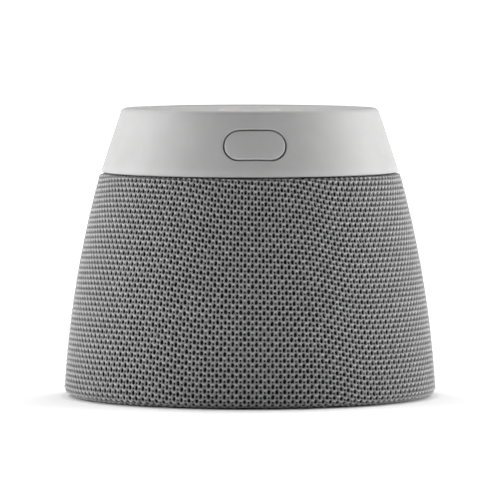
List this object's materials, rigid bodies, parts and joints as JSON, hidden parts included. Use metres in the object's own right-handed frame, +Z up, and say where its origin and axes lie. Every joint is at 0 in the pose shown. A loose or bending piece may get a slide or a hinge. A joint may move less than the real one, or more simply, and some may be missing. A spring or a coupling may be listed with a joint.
{
  "type": "smart speaker",
  "caption": "Tapered tabletop smart speaker: knitted fabric body over a slotted frame, conical plastic top ring with a pill push button, top buttons, inner cabinet with upward driver.",
  "frame": {"origin": "bottom centre, on the surface that the foot ring stands on", "axes": "+Z up along the body's axis; -Y is the front, where the pill button is; the sockets face +Y"},
  "size_m": [0.1302, 0.1302, 0.101],
  "materials": {
    "fabric": "open spacer knit, matt",
    "silver_plastic": "silver paint, satin",
    "grey_plastic": "satin",
    "black_plastic": "fine texture",
    "light_guide": "frosted",
    "rubber": "matt",
    "steel": "zinc plated",
    "tin_plate": "bright",
    "ferrite": "ground ceramic magnet, matt",
    "copper": "enamelled copper winding",
    "paper": "pressed black paper pulp",
    "spider_cloth": "resin-treated cloth",
    "circuit_board": "green solder mask on glass epoxy",
    "switch_housing": "moulded"
  },
  "bodies": {
    "housing": {"acoustic_deflector": "black_plastic", "action_switch": "switch_housing", "audio_socket": "black_plastic", "base_plate": "black_plastic", "base_screw_1": "steel", "base_screw_2": "steel", "base_screw_3": "steel", "board_screw_1": "steel", "board_screw_2": "steel", "board_screw_3": "steel", "cabinet_lid": "black_plastic", "control_board": "circuit_board", "driver_basket": "steel", "driver_magnet": "ferrite", "driver_screw_1": "steel", "driver_screw_2": "steel", "driver_screw_3": "steel", "driver_screw_4": "steel", "driver_spider": "spider_cloth", "driver_surround": "rubber", "driver_top_plate": "steel", "driver_yoke": "steel", "electronics_deck": "black_plastic", "fabric_sleeve": "fabric", "foot_ring": "rubber", "front_board_screw_1": "steel", "front_board_screw_2": "steel", "front_switch": "switch_housing", "front_switch_board": "circuit_board", "grille_frame": "black_plastic", "light_ring": "light_guide", "main_board": "circuit_board", "microphone_boot_left": "rubber", "microphone_boot_right": "rubber", "microphone_mute_switch": "switch_housing", "passive_radiator_clamp_left": "black_plastic", "passive_radiator_clamp_right": "black_plastic", "passive_radiator_surround_left": "rubber", "passive_radiator_surround_right": "rubber", "power_socket": "black_plastic", "ring_screw_1": "steel", "ring_screw_2": "steel", "ring_screw_3": "steel", "speaker_cabinet": "black_plastic", "top_cover": "silver_plastic", "top_ring": "silver_plastic", "volume_down_switch": "switch_housing", "volume_up_switch": "switch_housing", "wireless_shield": "tin_plate"},
    "front_button": {"front_button": "silver_plastic"},
    "action_button": {"action_button": "grey_plastic"},
    "volume_up_button": {"volume_up_button": "grey_plastic"},
    "volume_down_button": {"volume_down_button": "grey_plastic"},
    "microphone_mute_button": {"microphone_mute_button": "grey_plastic"},
    "driver_cone_assembly": {"driver_cone": "paper", "dust_cap": "paper", "voice_coil": "copper"},
    "left_passive_radiator": {"passive_radiator_plate_left": "steel"},
    "right_passive_radiator": {"passive_radiator_plate_right": "steel"}
  },
  "joints": [
    {"name": "front_button_press", "type": "slide", "parent": "housing", "child": "front_button", "axis": [0, 0.9487, -0.3162], "range_m": [0, 0.0006], "stiffness_N_per_m": 300},
    {"name": "action_button_press", "type": "slide", "parent": "housing", "child": "action_button", "axis": [0, 0, -1], "range_m": [0, 0.0005], "stiffness_N_per_m": 300},
    {"name": "volume_up_press", "type": "slide", "parent": "housing", "child": "volume_up_button", "axis": [0, 0, -1], "range_m": [0, 0.0005], "stiffness_N_per_m": 300},
    {"name": "volume_down_press", "type": "slide", "parent": "housing", "child": "volume_down_button", "axis": [0, 0, -1], "range_m": [0, 0.0005], "stiffness_N_per_m": 300},
    {"name": "microphone_mute_press", "type": "slide", "parent": "housing", "child": "microphone_mute_button", "axis": [0, 0, -1], "range_m": [0, 0.0005], "stiffness_N_per_m": 300},
    {"name": "driver_stroke", "type": "slide", "parent": "housing", "child": "driver_cone_assembly", "axis": [0, 0, 1], "range_m": [-0.002, 0.002], "stiffness_N_per_m": 1500, "deforming": ["driver_surround", "driver_spider"]},
    {"name": "left_radiator_stroke", "type": "slide", "parent": "housing", "child": "left_passive_radiator", "axis": [-1, 0, 0], "range_m": [-0.002, 0.002], "stiffness_N_per_m": 800, "deforming": ["passive_radiator_surround_left"]},
    {"name": "right_radiator_stroke", "type": "slide", "parent": "housing", "child": "right_passive_radiator", "axis": [1, 0, 0], "range_m": [-0.002, 0.002], "stiffness_N_per_m": 800, "deforming": ["passive_radiator_surround_right"]}
  ]
}
